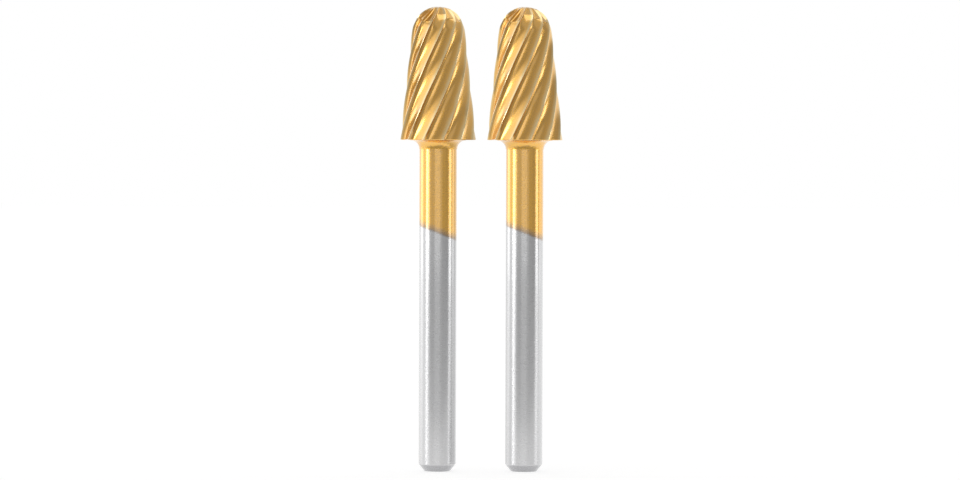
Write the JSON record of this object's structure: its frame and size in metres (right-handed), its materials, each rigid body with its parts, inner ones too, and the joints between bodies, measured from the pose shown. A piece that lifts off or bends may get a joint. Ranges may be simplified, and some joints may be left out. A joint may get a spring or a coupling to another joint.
{
  "type": "rotary burr set",
  "caption": "Ball-nosed taper rotary burrs for a die grinder: helically fluted, gold-coated cutter heads brazed on round steel shanks with chamfered ends.",
  "frame": {"origin": "midway between the centres of the two shank ends, in the plane of those ends", "axes": "+Z along both burrs from the shank ends to the noses, +X from the left burr to the right one, -Y to the front"},
  "size_m": [0.0138, 0.0064, 0.0394],
  "materials": {
    "coated_carbide": "ground tungsten carbide under a gold titanium nitride coating a few micrometres thick",
    "coated_braze": "smooth silver braze fillet under the same gold coating as the head",
    "ground_steel": "centreless-ground tool steel, bare at the collet end and gold coated near the head"
  },
  "bodies": {
    "root": {"left_cutter_head": "coated_carbide", "left_braze_joint": "coated_braze", "left_shank": "ground_steel", "right_cutter_head": "coated_carbide", "right_braze_joint": "coated_braze", "right_shank": "ground_steel"}
  },
  "joints": []
}
